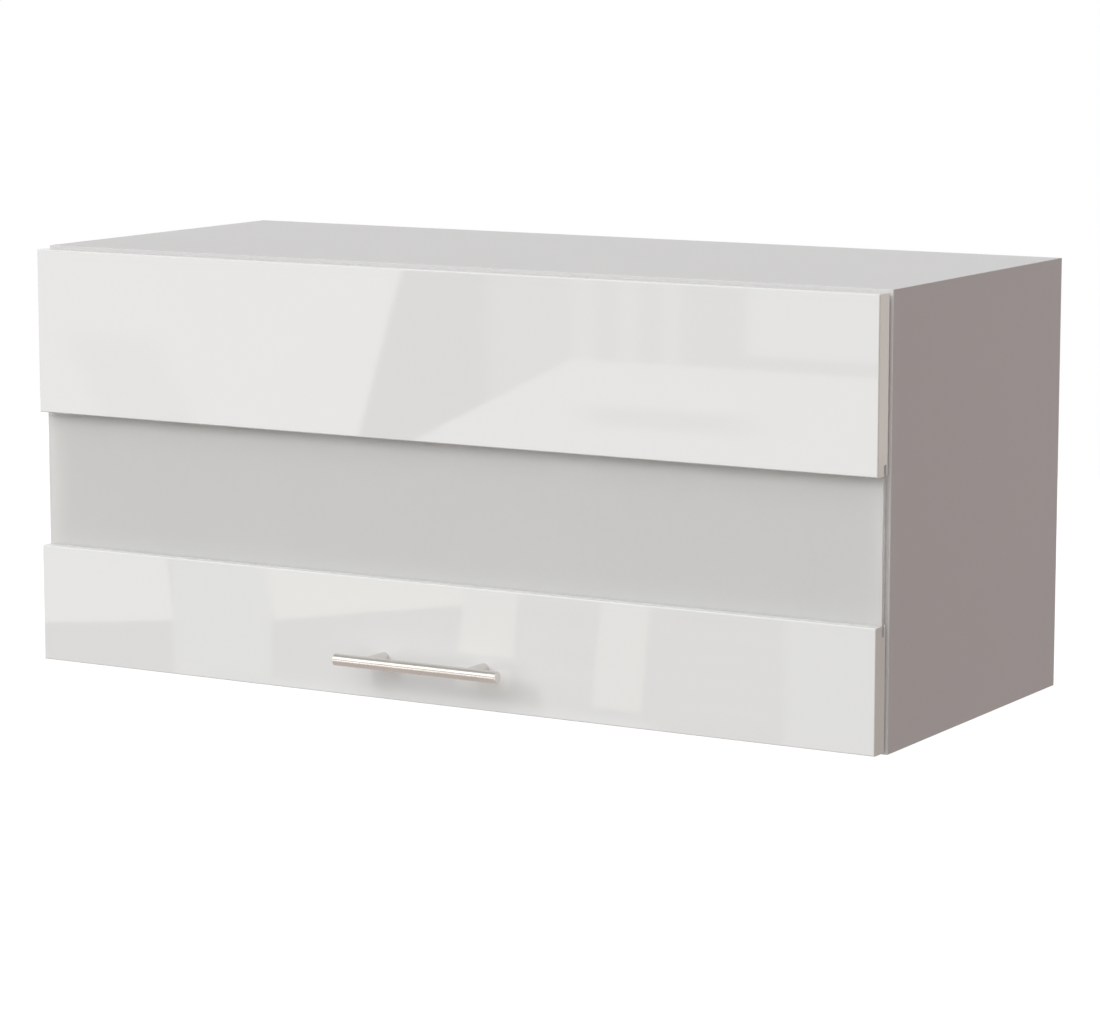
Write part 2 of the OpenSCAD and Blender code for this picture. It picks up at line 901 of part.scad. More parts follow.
module handle_bar() {
  color(steel)
    difference() {
      translate([0, handle_y, handle_z])
        blunt_rod(handle_d, handle_len, bar_chamfer);
      // seats for the tenons of the posts
      both_sides()
        translate([handle_pitch / 2, handle_y, handle_z])
          rod_back(post_d / 2 + fit, handle_d);
    }
}

// Two posts, coped to the round bar, each with a short tenon that enters it
module handle_posts() {
  color(steel)
    both_sides()
      translate([handle_pitch / 2, 0, handle_z])
        difference() {
          union() {
            difference() {
              translate([0, handle_y, 0])
                rod_back(post_d, handle_reach);
              translate([0, handle_y, 0])
                rod_x(handle_d, 2 * post_d);
            }
            translate([0, handle_y + fit, 0])
              rod_back(post_d / 2, handle_d);
          }
          // tapped hole for the fixing screw
          translate([0, door_front - tap_depth, 0])
            rod_back(handle_screw[0] + fit, tap_depth + over);
        }
}

module handle_screws() {
  color(bright_steel)
    both_sides()
      translate([handle_pitch / 2, door_back, handle_z])
        rotate([-90, 0, 0])
          pan_screw(handle_screw);
}

// ---- hinges, door side ----

// Places children at the screws of both cups, with the door face at Z = 0 and the board above it
module at_cup_screws() {
  for (u = sides)
    translate([hinge_x + u * cup_screw_pitch / 2, door_back, cup_z - cup_screw_drop])
      rotate([90, 0, 0])
        children();
}

// Die-cast cup with a pocket for the arm and a flange with two screw lugs
module hinge_cup(side) {
  flange_high = axis_z + flange_top;
  color(nickel)
    at_side(side)
      difference() {
        union() {
          translate([hinge_x, door_back - cup_depth, cup_z])
            rod_back(cup_d, cup_depth);
          // flange, kept below the line that would touch the cabinet as the door swings
          intersection() {
            translate([hinge_x, door_back, cup_z])
              rod_back(cup_d + 2 * flange_rim, flange_t);
            translate([hinge_x - cup_d, door_back, cup_z - cup_d])
              cube([2 * cup_d, flange_t, flange_high - cup_z + cup_d]);
          }
          translate([hinge_x, door_back + flange_t, cup_z - cup_screw_drop])
            rotate([90, 0, 0])
              linear_extrude(flange_t)
                soft_rect(flange_w, flange_h, flange_r);
        }
        // round pocket
        intersection() {
          translate([hinge_x, door_back - cup_depth + cup_floor, cup_z])
            rod_back(cup_d - 2 * cup_wall, cup_depth + flange_t + over);
          translate([hinge_x - cup_d, door_front, cup_z - cup_d])
            cube([2 * cup_d, door_t + flange_t + over, axis_z - pocket_drop - cup_z + cup_d]);
        }
        // narrower bay for the eye
        translate([hinge_x - eye_w / 2 - 2 * run, door_back - cup_depth + cup_floor, cup_z])
          cube([eye_w + 4 * run, cup_depth + flange_t + over, pocket_top - cup_z]);
        // bore for the pin
        translate([hinge_x, axis_y, axis_z])
          rod_x(pin_d + fit, pin_len);
        at_cup_screws()
          plate_bore(cup_screw, flange_t);
      }
}

module hinge_pins() {
  color(bright_steel)
    both_sides()
      translate([hinge_x, axis_y, axis_z])
        rod_x(pin_d, pin_len);
}

module hinge_cup_screws() {
  color(bright_steel)
    both_sides()
      at_cup_screws()
        seated_screw(cup_screw, flange_t);
}

// ---- strut fixings, door side ----

// Places children at the screws of a door bracket, with the door face at Z = 0 and the board above it
module at_bracket_screws() {
  for (z = foot_screw_rows)
    translate([foot_screw_x, door_back, door_stud_z + z])
      rotate([90, 0, 0])
        children();
}

// Angle bracket: a foot on the door and a tab that carries the ball stud
module strut_bracket(side) {
  color(nickel)
    at_side(side)
      difference() {
        union() {
          // foot
          translate([tab_x - foot_w, door_back, door_stud_z - foot_drop])
            cube([foot_w + bracket_t, foot_t, foot_h]);
          // tab
          translate([tab_x, 0, 0])
            rotate([90, 0, 90])
              linear_extrude(bracket_t) {
                translate([door_stud_y, door_stud_z])
                  circle(r = tab_r);
                translate([door_back, door_stud_z - tab_r])
                  square([stud_reach, 2 * tab_r]);
              }
        }
        at_bracket_screws()
          plate_bore(bracket_screw, foot_t);
        translate([tab_x + bracket_t / 2, door_stud_y, door_stud_z])
          rod_x(neck_d + fit, 2 * bracket_t);
      }
}

module door_ball_studs() {
  color(bright_steel)
    both_sides()
      translate([strut_x, door_stud_y, door_stud_z])
        mirror([1, 0, 0])
          ball_stud(strut_x - tab_x);
}

module strut_bracket_screws() {
  color(bright_steel)
    both_sides()
      at_bracket_screws()
        seated_screw(bracket_screw, foot_t);
}

// ---- gas struts ----

// Draws children with Z along the right strut, from the side stud towards the door stud
module along_strut() {
  translate([strut_x, side_stud_y, side_stud_z])
    rotate([strut_tilt, 0, 0])
      children();
}

module strut_barrel(side) {
  color(grey_paint)
    at_side(side)
      along_strut()
        translate([0, 0, socket_len])
          difference() {
            union() {
              cylinder(d = barrel_d, h = barrel_len);
              translate([0, 0, -thread_len])
                cylinder(d = thread_d, h = thread_len + over);
            }
            translate([0, 0, barrel_floor])
              cylinder(d = barrel_d - 2 * barrel_wall, h = barrel_len - barrel_floor - lip_t);
            translate([0, 0, barrel_len - lip_t - over])
              cylinder(d = mouth_d, h = lip_t + 2 * over);
          }
}

// Guide and seal that close the mouth of each barrel
module rod_guides() {
  color(dark_plastic)
    both_sides()
      along_strut()
        translate([0, 0, socket_len + barrel_len - lip_t - guide_len])
          difference() {
            cylinder(d = barrel_d - 2 * barrel_wall - fit, h = guide_len);
            translate([0, 0, -over])
              cylinder(d = rod_d + 2 * run, h = guide_len + 2 * over);
          }
}

// The space for a ball at the origin and for its neck, which leaves along the X direction open_x
module ball_space(open_x) {
  mouth_r = ball_d / 2 - run;
  rotate([0, open_x * 90, 0])
    rotate_extrude()
      intersection() {
        union() {
          circle(d = ball_d + 2 * run);
          square([mouth_r, socket_half + over]);
        }
        translate([0, -ball_d])
          square([ball_d, 2 * ball_d]);
      }
}

// A plastic socket that snaps over a ball: the ball is at the origin, the strut lies along +Z
// and the neck of the stud leaves along open_x
module ball_socket(open_x) {
  difference() {
    union() {
      rod_x(2 * socket_r, 2 * socket_half);
      cylinder(d = stem_d, h = socket_len);
    }
    ball_space(open_x);
    // threaded hole for the strut end
    translate([0, 0, socket_len - thread_len - fit])
      cylinder(d = thread_d + fit, h = thread_len + fit + over);
  }
}

module barrel_socket(side) {
  color(dark_plastic)
    at_side(side)
      along_strut()
        ball_socket(1);
}

module rod_socket(side) {
  color(dark_plastic)
    at_side(side)
      along_strut()
        translate([0, 0, closed_len])
          rotate([180, 0, 0])
            ball_socket(-1);
}

module strut_rod(side) {
  rod_end = closed_len - socket_len + thread_len;
  color(chrome)
    at_side(side)
      along_strut()
        translate([0, 0, piston_start]) {
          cylinder(d = thread_d, h = rod_end - piston_start);
          translate([0, 0, piston_len])
            cylinder(d = rod_d, h = closed_len - socket_len - piston_start - piston_len);
        }
}

module pistons() {
  color(aluminium)
    both_sides()
      along_strut()
        translate([0, 0, piston_start])
          difference() {
            cylinder(d = barrel_d - 2 * barrel_wall - 2 * run, h = piston_len);
            translate([0, 0, -over])
              cylinder(d = thread_d + fit, h = piston_len + 2 * over);
          }
}

side_panel(-1);  // side_panel_left
side_panel(1);  // side_panel_right
top_panel();
bottom_panel();
back_board();
side_edging(-1);  // edging_left
side_edging(1);  // edging_right
cross_edging(underside_z);  // edging_top
cross_edging(0);  // edging_bottom
cam_locks();
cam_bolts();
cam_caps();
dowels();
hanger_housing(-1);  // hanger_housing_left
hanger_housing(1);  // hanger_housing_right
hanger_hook(-1);  // hanger_hook_left
hanger_hook(1);  // hanger_hook_right
hanger_screws();
hanger_cover(-1);  // hanger_cover_left
hanger_cover(1);  // hanger_cover_right
hinge_plate(-1);  // hinge_plate_left
hinge_plate(1);  // hinge_plate_right
hinge_arm(-1);  // hinge_arm_left
hinge_arm(1);  // hinge_arm_right
hinge_plate_screws();
hinge_arm_screws();
strut_plate(-1);  // strut_plate_left
strut_plate(1);  // strut_plate_right
side_ball_studs();
strut_plate_screws();
upper_board();
lower_board();
glass_pane();
upper_seal();
lower_seal();
handle_bar();
handle_posts();
handle_screws();
hinge_cup(-1);  // hinge_cup_left
hinge_cup(1);  // hinge_cup_right
hinge_pins();
hinge_cup_screws();
strut_bracket(-1);  // strut_bracket_left
strut_bracket(1);  // strut_bracket_right
door_ball_studs();
strut_bracket_screws();
door_bumpers();
strut_barrel(-1);  // strut_barrel_left
strut_barrel(1);  // strut_barrel_right
rod_guides();
barrel_socket(-1);  // barrel_socket_left
barrel_socket(1);  // barrel_socket_right
strut_rod(-1);  // strut_rod_left
strut_rod(1);  // strut_rod_right
pistons();
rod_socket(-1);  // rod_socket_left
rod_socket(1);  // rod_socket_right
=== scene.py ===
import json
import math

import bmesh
import bpy
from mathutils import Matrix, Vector


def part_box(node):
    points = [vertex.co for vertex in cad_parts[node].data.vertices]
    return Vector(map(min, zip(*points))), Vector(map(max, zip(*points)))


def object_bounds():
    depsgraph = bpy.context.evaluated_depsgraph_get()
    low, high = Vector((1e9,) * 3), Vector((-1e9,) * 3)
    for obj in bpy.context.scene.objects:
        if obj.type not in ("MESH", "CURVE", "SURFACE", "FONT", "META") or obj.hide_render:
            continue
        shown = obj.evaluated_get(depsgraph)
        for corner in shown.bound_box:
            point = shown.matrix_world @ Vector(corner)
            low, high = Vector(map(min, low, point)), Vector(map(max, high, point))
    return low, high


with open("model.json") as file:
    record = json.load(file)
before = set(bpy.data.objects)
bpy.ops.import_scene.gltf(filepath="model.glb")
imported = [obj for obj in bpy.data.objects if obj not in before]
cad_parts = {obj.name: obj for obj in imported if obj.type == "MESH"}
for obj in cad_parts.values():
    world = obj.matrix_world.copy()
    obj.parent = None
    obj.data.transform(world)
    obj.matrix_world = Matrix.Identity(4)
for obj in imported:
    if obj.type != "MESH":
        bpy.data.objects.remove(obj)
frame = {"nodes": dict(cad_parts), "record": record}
cadLow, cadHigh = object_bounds()
nodes = frame["nodes"]

doorLow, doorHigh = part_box("upper_board")
doorFront, doorBack = doorLow.y, doorHigh.y
cabinetTop = cadHigh.z
mm = 0.001

mixFactor, mixFirst, mixSecond, mixResult = 0, 6, 7, 2  # the sockets of a Mix node that mixes colours
evenly = (1, 1, 1)  # a pattern that isn't stretched


def startMaterial(name, shaderValues):
    mat = bpy.data.materials.new(name)
    mat.use_nodes = True
    shader = mat.node_tree.nodes["Principled BSDF"]
    for socket, value in shaderValues.items():
        shader.inputs[socket].default_value = value
    return mat, mat.node_tree, shader


def addNode(tree, kind, values=None, **settings):
    node = tree.nodes.new(kind)
    for key, value in settings.items():
        setattr(node, key, value)
    for socket, value in (values or {}).items():
        node.inputs[socket].default_value = value
    return node


def mathOf(tree, operation, first, second=None):  # each of the two is a socket or a number
    node = addNode(tree, "ShaderNodeMath", operation=operation)
    for slot, value in enumerate((first, second)):
        if isinstance(value, (int, float)):
            node.inputs[slot].default_value = value
        elif value is not None:
            tree.links.new(value, node.inputs[slot])
    return node.outputs[0]


def objectPoint(tree, stretch=evenly):
    coords = addNode(tree, "ShaderNodeTexCoord")
    mapping = addNode(tree, "ShaderNodeMapping", {"Scale": stretch})
    tree.links.new(coords.outputs["Object"], mapping.inputs["Vector"])
    return mapping.outputs["Vector"]


def partOf(tree, vector, axis):
    split = addNode(tree, "ShaderNodeSeparateXYZ")
    tree.links.new(vector, split.inputs[0])
    return split.outputs[axis]


def noiseOf(tree, perMetre, detail=3.0, stretch=evenly, roughness=0.5):
    values = {"Scale": perMetre, "Detail": detail, "Roughness": roughness}
    noise = addNode(tree, "ShaderNodeTexNoise", values)
    tree.links.new(objectPoint(tree, stretch), noise.inputs["Vector"])
    return noise.outputs["Fac"]


def spread(tree, factor, low, high, fromLow=0.3, fromHigh=0.7):  # noise mostly lies between these two
    ranged = addNode(tree, "ShaderNodeMapRange",
                     {"From Min": fromLow, "From Max": fromHigh, "To Min": low, "To Max": high})
    tree.links.new(factor, ranged.inputs["Value"])
    return ranged.outputs["Result"]


def mixColours(tree, factor, first, second):
    mix = addNode(tree, "ShaderNodeMix", data_type="RGBA")
    tree.links.new(factor, mix.inputs[mixFactor])
    for slot, colour in ((mixFirst, first), (mixSecond, second)):
        if isinstance(colour, tuple):
            mix.inputs[slot].default_value = (*colour, 1)
        else:
            tree.links.new(colour, mix.inputs[slot])
    return mix.outputs[mixResult]


def mixShaders(tree, factor, first, second):
    mix = addNode(tree, "ShaderNodeMixShader")
    tree.links.new(factor, mix.inputs["Fac"])
    tree.links.new(first.outputs[0], mix.inputs[1])
    tree.links.new(second.outputs[0], mix.inputs[2])
    return mix.outputs[0]


def setSurface(tree, surface):
    tree.links.new(surface, tree.nodes["Material Output"].inputs["Surface"])


def bumpFrom(tree, shader, height, depth):
    bump = addNode(tree, "ShaderNodeBump", {"Strength": 1.0, "Distance": depth})
    tree.links.new(height, bump.inputs["Height"])
    tree.links.new(bump.outputs["Normal"], shader.inputs["Normal"])


def facesAlong(tree, axis, bothWays=False):  # 1 where the piece's own surface faces along an axis
    coords = addNode(tree, "ShaderNodeTexCoord")
    facing = partOf(tree, coords.outputs["Normal"], axis)
    if bothWays:
        facing = mathOf(tree, "ABSOLUTE", facing)
    return mathOf(tree, "GREATER_THAN", facing, 0.5)


def beyond(tree, axis, place):  # 1 where the point lies past a place on an axis
    return mathOf(tree, "GREATER_THAN", partOf(tree, objectPoint(tree), axis), place)


def shadeOf(colour, share):
    return tuple(share * c for c in colour)


# the two boards of the door: gloss in front, satin at the back, and on the ends a darker, warmer white
# that is painted shade
glossBoard = {"white": (0.865, 0.865, 0.857), "deeper": (0.853, 0.852, 0.843), "cloudScale": 6,
              "backWhite": (0.8, 0.795, 0.785), "backSkin": 0.4 * mm, "shadedEndWhite": (0.78, 0.775, 0.7),
              "rough": 0.02, "backRough": 0.38, "rippleScale": 45, "rippleDepth": 0.006 * mm}


def makeGlossBoard():
    g = glossBoard
    mat, tree, shader = startMaterial("glossBoard", {"IOR": 1.5})
    tint = mixColours(tree, noiseOf(tree, g["cloudScale"]), g["white"], g["deeper"])
    atBack = beyond(tree, "Y", doorBack - g["backSkin"])
    backFace = mathOf(tree, "MULTIPLY", facesAlong(tree, "Y"), atBack)
    # the end faces get a darker, warmer white: painted shade from the dim warm light at the sides
    front = mixColours(tree, facesAlong(tree, "X", True), tint, g["shadedEndWhite"])
    tree.links.new(mixColours(tree, backFace, front, g["backWhite"]), shader.inputs["Base Color"])
    tree.links.new(spread(tree, backFace, g["rough"], g["backRough"], 0, 1), shader.inputs["Roughness"])
    bumpFrom(tree, shader, noiseOf(tree, g["rippleScale"], 2), g["rippleDepth"])
    return mat


# the panels of the box: a fine pearl all over, bare chipboard on the sawn edges at the wall
melamine = {"white": (0.73, 0.727, 0.722), "cooler": (0.716, 0.714, 0.711), "cloudScale": 9,
            "rough": (0.46, 0.54), "shine": 0.15, "pearlScale": 1400, "pearlDepth": 0.02 * mm,
            "chipLight": (0.62, 0.49, 0.33), "chipDark": (0.36, 0.245, 0.14), "chipScale": 750,
            "chipStretch": (1, 1, 0.5), "chipSpread": (0.35, 0.65), "edgeSkin": 0.5 * mm}


def makeMelamine():
    m = melamine
    mat, tree, shader = startMaterial("melamine", {"Specular IOR Level": m["shine"]})
    pearl = noiseOf(tree, m["pearlScale"], 2)
    face = mixColours(tree, noiseOf(tree, m["cloudScale"]), m["white"], m["cooler"])
    grain = spread(tree, noiseOf(tree, m["chipScale"], 5, m["chipStretch"]), 0, 1, *m["chipSpread"])
    chips = mixColours(tree, grain, m["chipDark"], m["chipLight"])
    rawEdge = mathOf(tree, "MULTIPLY", facesAlong(tree, "Y"), beyond(tree, "Y", -m["edgeSkin"]))
    tree.links.new(mixColours(tree, rawEdge, face, chips), shader.inputs["Base Color"])
    tree.links.new(spread(tree, pearl, *m["rough"]), shader.inputs["Roughness"])
    bumpFrom(tree, shader, pearl, m["pearlDepth"])
    return mat


# the back board: white inside, plain brown towards the wall
hardboard = {"white": (0.78, 0.775, 0.765), "tone": 0.98, "cloudScale": 12,
             "brown": (0.4, 0.265, 0.16), "brownDark": (0.32, 0.2, 0.115), "rough": 0.75, "shine": 0.12,
             "fibreScale": 1500, "fibreStretch": (1, 1, 0.35), "fibreDepth": 0.02 * mm}


def makeHardboard():
    h = hardboard
    matt = {"Roughness": h["rough"], "Specular IOR Level": h["shine"]}
    mat, tree, shader = startMaterial("hardboard", matt)
    fibre = noiseOf(tree, h["fibreScale"], 4, h["fibreStretch"])
    brown = mixColours(tree, spread(tree, fibre, 0, 1), h["brown"], h["brownDark"])
    clouds = noiseOf(tree, h["cloudScale"])
    white = mixColours(tree, clouds, h["white"], shadeOf(h["white"], h["tone"]))
    tree.links.new(mixColours(tree, facesAlong(tree, "Y"), white, brown), shader.inputs["Base Color"])
    bumpFrom(tree, shader, fibre, h["fibreDepth"])
    return mat


edging = {"white": (0.78, 0.775, 0.766), "deeper": (0.768, 0.762, 0.752), "cloudScale": 14,
          "rough": (0.27, 0.32), "peelScale": 900, "peelDepth": 0.006 * mm}


def makeEdging():
    e = edging
    mat, tree, shader = startMaterial("edging", {})
    peel = noiseOf(tree, e["peelScale"], 2)
    tint = mixColours(tree, noiseOf(tree, e["cloudScale"]), e["white"], e["deeper"])
    tree.links.new(tint, shader.inputs["Base Color"])
    tree.links.new(spread(tree, peel, *e["rough"]), shader.inputs["Roughness"])
    bumpFrom(tree, shader, peel, e["peelDepth"])
    return mat


beech = {"light": (0.62, 0.43, 0.25), "dark": (0.46, 0.29, 0.15), "rough": 0.6,
         "grainScale": 700, "grainStretch": (0.06, 1, 1), "grainDepth": 0.03 * mm}


def makeBeech():
    b = beech
    mat, tree, shader = startMaterial("beech", {"Roughness": b["rough"]})
    grain = noiseOf(tree, b["grainScale"], 4, b["grainStretch"])
    tint = mixColours(tree, spread(tree, grain, 0, 1), b["light"], b["dark"])
    tree.links.new(tint, shader.inputs["Base Color"])
    bumpFrom(tree, shader, grain, b["grainDepth"])
    return mat


# the pane: etched and partly clear, and a little of the lamps' light passes straight through it
frostedGlass = {"tint": (0.877, 0.876, 0.86), "paler": (0.893, 0.892, 0.876), "cloudScale": 8,
                "rough": (0.5, 0.6), "etchScale": 2600, "etchDepth": 0.01 * mm,
                "through": 0.4, "lampsThrough": 0.15}


def makeFrostedGlass():
    g = frostedGlass
    mat, tree, shader = startMaterial("frostedGlass", {"Transmission Weight": g["through"], "IOR": 1.5})
    etch = noiseOf(tree, g["etchScale"], 2)
    tint = mixColours(tree, noiseOf(tree, g["cloudScale"]), g["tint"], g["paler"])
    tree.links.new(tint, shader.inputs["Base Color"])
    tree.links.new(spread(tree, etch, *g["rough"]), shader.inputs["Roughness"])
    bumpFrom(tree, shader, etch, g["etchDepth"])
    path = addNode(tree, "ShaderNodeLightPath")
    clear = addNode(tree, "ShaderNodeBsdfTransparent")
    straight = spread(tree, path.outputs["Is Shadow Ray"], 0, g["lampsThrough"], 0, 1)
    setSurface(tree, mixShaders(tree, straight, shader, clear))
    return mat


plastics = {"palePlastic": {"colour": (0.74, 0.74, 0.725), "rough": 0.5, "clear": 0.0,
                            "grainScale": 1800, "grainDepth": 0.015 * mm},
            "darkPlastic": {"colour": (0.035, 0.035, 0.037), "rough": 0.45, "clear": 0.0,
                            "grainScale": 1800, "grainDepth": 0.015 * mm},
            "seal": {"colour": (0.62, 0.63, 0.62), "rough": 0.5, "clear": 0.3,
                     "grainScale": 600, "grainDepth": 0.01 * mm},
            "bumper": {"colour": (0.8, 0.8, 0.79), "rough": 0.25, "clear": 0.6,
                       "grainScale": 500, "grainDepth": 0.01 * mm}}
plasticWear = {"tone": 0.94, "patchScale": 90, "roughVaries": 0.05}


def makePlastic(name):
    p, wear = plastics[name], plasticWear
    mat, tree, shader = startMaterial(name, {"Transmission Weight": p["clear"]})
    grain = noiseOf(tree, p["grainScale"], 2)
    tint = mixColours(tree, spread(tree, grain, 0, 1), p["colour"], shadeOf(p["colour"], wear["tone"]))
    tree.links.new(tint, shader.inputs["Base Color"])
    smooth, dull = p["rough"] - wear["roughVaries"], p["rough"] + wear["roughVaries"]
    patches = spread(tree, noiseOf(tree, wear["patchScale"]), smooth, dull)
    tree.links.new(patches, shader.inputs["Roughness"])
    bumpFrom(tree, shader, grain, p["grainDepth"])
    return mat


# the handle's lines run along the bar, those of a rod along the strut
metals = {"brushedSteel": {"colour": (0.76, 0.735, 0.705), "tone": 0.94, "rough": (0.16, 0.28),
                           "lineScale": 2400, "stretch": (0.02, 1, 1), "lineDepth": 0.006 * mm},
          "nickel": {"colour": (0.66, 0.645, 0.62), "tone": 0.94, "rough": (0.16, 0.28),
                     "lineScale": 260, "stretch": evenly, "lineDepth": 0.006 * mm},
          "brightSteel": {"colour": (0.62, 0.61, 0.59), "tone": 0.94, "rough": (0.22, 0.36),
                          "lineScale": 900, "stretch": evenly, "lineDepth": 0.008 * mm},
          "plainSteel": {"colour": (0.55, 0.56, 0.55), "tone": 0.86, "rough": (0.3, 0.46),
                         "lineScale": 500, "stretch": evenly, "lineDepth": 0.01 * mm},
          "camZinc": {"colour": (0.46, 0.47, 0.48), "tone": 0.85, "rough": (0.4, 0.55),
                      "lineScale": 700, "stretch": evenly, "lineDepth": 0.03 * mm},
          "rodChrome": {"colour": (0.72, 0.72, 0.72), "tone": 0.98, "rough": (0.06, 0.12),
                        "lineScale": 1500, "stretch": (1, 0.2, 0.2), "lineDepth": 0.002 * mm},
          "piston": {"colour": (0.6, 0.6, 0.61), "tone": 0.94, "rough": (0.25, 0.36),
                     "lineScale": 1500, "stretch": evenly, "lineDepth": 0.006 * mm}}
metalWear = {"lineSharpness": 0.6, "smudgeScale": 60}


def makeMetal(name):
    m = metals[name]
    mat, tree, shader = startMaterial(name, {"Metallic": 1.0})
    lines = noiseOf(tree, m["lineScale"], 4, m["stretch"], metalWear["lineSharpness"])
    smudge = spread(tree, noiseOf(tree, metalWear["smudgeScale"], 3), 0, 1)
    tint = mixColours(tree, smudge, m["colour"], shadeOf(m["colour"], m["tone"]))
    tree.links.new(tint, shader.inputs["Base Color"])
    tree.links.new(spread(tree, lines, *m["rough"]), shader.inputs["Roughness"])
    bumpFrom(tree, shader, lines, m["lineDepth"])
    return mat


strutPaint = {"grey": (0.36, 0.37, 0.38), "tone": 0.93, "coat": 0.3, "coatRough": 0.12,
              "rough": (0.3, 0.42), "peelScale": 500, "peelDepth": 0.02 * mm}


def makeStrutPaint():
    s = strutPaint
    coat = {"Coat Weight": s["coat"], "Coat Roughness": s["coatRough"]}
    mat, tree, shader = startMaterial("strutPaint", coat)
    peel = noiseOf(tree, s["peelScale"], 2)
    tint = mixColours(tree, peel, s["grey"], shadeOf(s["grey"], s["tone"]))
    tree.links.new(tint, shader.inputs["Base Color"])
    tree.links.new(spread(tree, peel, *s["rough"]), shader.inputs["Roughness"])
    bumpFrom(tree, shader, peel, s["peelDepth"])
    return mat


finishes = {"gloss_board": makeGlossBoard(), "melamine": makeMelamine(), "hardboard": makeHardboard(),
            "edging": makeEdging(), "beech": makeBeech(), "frosted_glass": makeFrostedGlass(),
            "strut_paint": makeStrutPaint()}
plasticSlots = {"pale_plastic": "palePlastic", "dark_plastic": "darkPlastic", "seal": "seal",
                "bumper": "bumper"}
for slotName, name in plasticSlots.items():
    finishes[slotName] = makePlastic(name)
metalSlots = {"brushed_steel": "brushedSteel", "nickel": "nickel", "bright_steel": "brightSteel",
              "plain_steel": "plainSteel", "cam_zinc": "camZinc", "rod_chrome": "rodChrome",
              "piston": "piston"}
for slotName, name in metalSlots.items():
    finishes[slotName] = makeMetal(name)

slotOf = {row["node"]: row["material_slot"] for row in frame["record"]["subparts"]}
for nodeName, piece in nodes.items():
    piece.data.materials.clear()
    piece.data.materials.append(finishes[slotOf[nodeName]])
print("finishes", len(finishes))


def seenRays(tree):  # 1 for what the camera, a reflection or a clear piece shows
    path = addNode(tree, "ShaderNodeLightPath")
    direct = mathOf(tree, "ADD", path.outputs["Is Camera Ray"], path.outputs["Is Glossy Ray"])
    return mathOf(tree, "ADD", direct, path.outputs["Is Transmission Ray"])


# the cabinet hangs above the floor, which is clear from below
floorFacts = {"drop": 0.9, "size": 14, "squares": 12, "pale": 0.9, "rough": 0.9, "lift": 0.42}


def makeFloor():
    f = floorFacts
    bm = bmesh.new()
    bmesh.ops.create_grid(bm, x_segments=f["squares"], y_segments=f["squares"], size=f["size"] / 2)
    mesh = bpy.data.meshes.new("floor")
    bm.to_mesh(mesh)
    bm.free()
    floor = bpy.data.objects.new("floor", mesh)
    floor.location.z = -f["drop"]
    bpy.context.scene.collection.objects.link(floor)
    floor.visible_diffuse = False
    mat, tree, shader = startMaterial("paleFloor", {"Roughness": f["rough"], "Specular IOR Level": 0.0})
    shader.inputs["Base Color"].default_value = (f["pale"], f["pale"], f["pale"], 1)
    glow = addNode(tree, "ShaderNodeEmission")
    tree.links.new(spread(tree, seenRays(tree), 0, f["lift"], 0, 1), glow.inputs["Strength"])
    lifted = addNode(tree, "ShaderNodeAddShader")
    tree.links.new(shader.outputs[0], lifted.inputs[0])
    tree.links.new(glow.outputs[0], lifted.inputs[1])
    side = addNode(tree, "ShaderNodeNewGeometry")
    clear = addNode(tree, "ShaderNodeBsdfTransparent")
    setSurface(tree, mixShaders(tree, side.outputs["Backfacing"], lifted, clear))
    mesh.materials.append(mat)


# broad soft lights for the matt faces, on top of a little light from all round: the narrower one is,
# the faster it fades to its sides
allRound = (0.04, 0.04, 0.04)
fills = {"front": {"towards": (-0.1, -0.8, 0.59), "narrow": 4, "colour": (2.132, 2.174, 2.18)},
         "top": {"towards": (0, 0.45, 0.89), "narrow": 2, "colour": (0.375, 0.36, 0.36)},
         "foot": {"towards": (0, 0, -1), "narrow": 2, "colour": (0.5, 0.5, 0.5)},
         "right": {"towards": (0.97, -0.1, -0.2), "narrow": 2, "colour": (0.241, 0.133, 0.111)}}


def addFill(tree, level, fill):
    coords = addNode(tree, "ShaderNodeTexCoord")
    towards = Vector(fill["towards"]).normalized()
    along = addNode(tree, "ShaderNodeVectorMath", {1: towards}, operation="DOT_PRODUCT")
    tree.links.new(coords.outputs["Generated"], along.inputs[0])
    facing = mathOf(tree, "MAXIMUM", along.outputs["Value"], 0.0)
    add = addNode(tree, "ShaderNodeMix", data_type="RGBA", blend_type="ADD")
    add.inputs[mixSecond].default_value = (*fill["colour"], 1)
    tree.links.new(mathOf(tree, "POWER", facing, fill["narrow"]), add.inputs[mixFactor])
    if isinstance(level, tuple):
        add.inputs[mixFirst].default_value = (*level, 1)
    else:
        tree.links.new(level, add.inputs[mixFirst])
    return add.outputs[mixResult]


def makeWorld():
    world = bpy.data.worlds.new("studio")
    world.use_nodes = True
    bpy.context.scene.world = world
    tree = world.node_tree
    soft = tree.nodes["Background"]
    level = allRound
    for fill in fills.values():
        level = addFill(tree, level, fill)
    tree.links.new(level, soft.inputs["Color"])
    white = addNode(tree, "ShaderNodeBackground", {"Color": (1, 1, 1, 1), "Strength": 1.0})
    surface = mixShaders(tree, seenRays(tree), soft, white)
    tree.links.new(surface, tree.nodes["World Output"].inputs["Surface"])


def placeLamp(name, lamp, towards, far):
    light = bpy.data.objects.new(name, lamp)
    light.location = Vector(towards).normalized() * far
    light.rotation_mode = "QUATERNION"
    light.rotation_quaternion = Vector(towards).to_track_quat("Z", "Y")
    light.visible_glossy = False  # the gloss shows the cards instead
    bpy.context.scene.collection.objects.link(light)


keyLight = {"towards": (-0.51, -0.70, 0.46), "level": 0.18, "far": 30.0, "size": (4.5, 12.5)}


